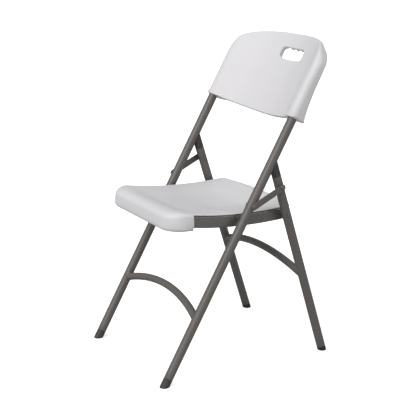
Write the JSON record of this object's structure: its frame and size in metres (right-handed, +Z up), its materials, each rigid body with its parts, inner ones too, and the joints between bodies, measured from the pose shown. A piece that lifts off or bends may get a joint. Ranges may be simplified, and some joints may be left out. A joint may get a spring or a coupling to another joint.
{
  "type": "folding chair",
  "caption": "Folding chair with a dished white plastic seat and a curved white plastic back with a hand slot, on a grey tube frame that folds flat.",
  "frame": {"origin": "centre of the footprint on the floor, under the middle of the open chair", "axes": "+Z up, the sitter faces -Y, +X is the sitter's left"},
  "size_m": [0.4248, 0.5664, 0.8889],
  "materials": {
    "frame_paint": "semi-matte warm grey powder coat",
    "rail_paint": "semi-matte dark grey powder coat",
    "white_plastic": "satin moulded plastic with a fine grain",
    "dark_plastic": "matte",
    "rubber": "matte",
    "rivet_steel": "dull",
    "nylon": "satin"
  },
  "bodies": {
    "frame": {"front_leg_left": "frame_paint", "front_leg_right": "frame_paint", "front_foot_left": "dark_plastic", "front_foot_right": "dark_plastic", "front_brace": "frame_paint", "backrest_shell": "white_plastic", "back_screw_lower_left": "rivet_steel", "back_screw_lower_right": "rivet_steel", "back_screw_upper_left": "rivet_steel", "back_screw_upper_right": "rivet_steel", "seat_pivot_rivet_left": "rivet_steel", "seat_pivot_rivet_right": "rivet_steel", "seat_pivot_spacer_left": "nylon", "seat_pivot_spacer_right": "nylon", "link_front_rivet_left": "rivet_steel", "link_front_rivet_right": "rivet_steel", "link_front_washer_left": "nylon", "link_front_washer_right": "nylon"},
    "seat": {"seat_shell": "white_plastic", "seat_rail_left": "rail_paint", "seat_rail_right": "rail_paint", "seat_cross_tube_front": "rail_paint", "seat_cross_tube_rear": "rail_paint", "seat_screw_front_left": "rivet_steel", "seat_screw_front_right": "rivet_steel", "seat_screw_rear_left": "rivet_steel", "seat_screw_rear_right": "rivet_steel"},
    "rear_legs": {"rear_leg_left": "frame_paint", "rear_leg_right": "frame_paint", "rear_foot_left": "rubber", "rear_foot_right": "rubber", "leg_cap_left": "dark_plastic", "leg_cap_right": "dark_plastic", "rear_brace": "frame_paint", "leg_pivot_rivet_left": "rivet_steel", "leg_pivot_rivet_right": "rivet_steel", "leg_pivot_spacer_left": "nylon", "leg_pivot_spacer_right": "nylon", "link_rivet_tail_left": "rivet_steel", "link_rivet_tail_right": "rivet_steel"},
    "fold_link_left": {"link_left": "frame_paint", "link_rear_rivet_left": "rivet_steel", "link_rear_washer_left": "nylon"},
    "fold_link_right": {"link_right": "frame_paint", "link_rear_rivet_right": "rivet_steel", "link_rear_washer_right": "nylon"}
  },
  "joints": [
    {"name": "seat_fold", "type": "hinge", "parent": "frame", "child": "seat", "pos_m": [0, -0.03493, 0.43447], "axis": [-1, 0, 0], "range_deg": [0, 99.7]},
    {"name": "rear_leg_fold", "type": "hinge", "parent": "seat", "child": "rear_legs", "pos_m": [0, 0.10444, 0.43449], "axis": [1, 0, 0], "range_deg": [0, 51.2]},
    {"name": "link_left_swing", "type": "hinge", "parent": "frame", "child": "fold_link_left", "pos_m": [0.2073, -0.01525, 0.47101], "axis": [-1, 0, 0], "range_deg": [0, 117.3]},
    {"name": "link_right_swing", "type": "hinge", "parent": "frame", "child": "fold_link_right", "pos_m": [-0.2073, -0.01525, 0.47101], "axis": [-1, 0, 0], "range_deg": [0, 117.3]}
  ],
  "couplings": [
    {"joint": "rear_leg_fold", "follows": "seat_fold", "ratio": 0.51118},
    {"joint": "link_left_swing", "follows": "seat_fold", "ratio": 1.1739},
    {"joint": "link_right_swing", "follows": "seat_fold", "ratio": 1.1739}
  ]
}
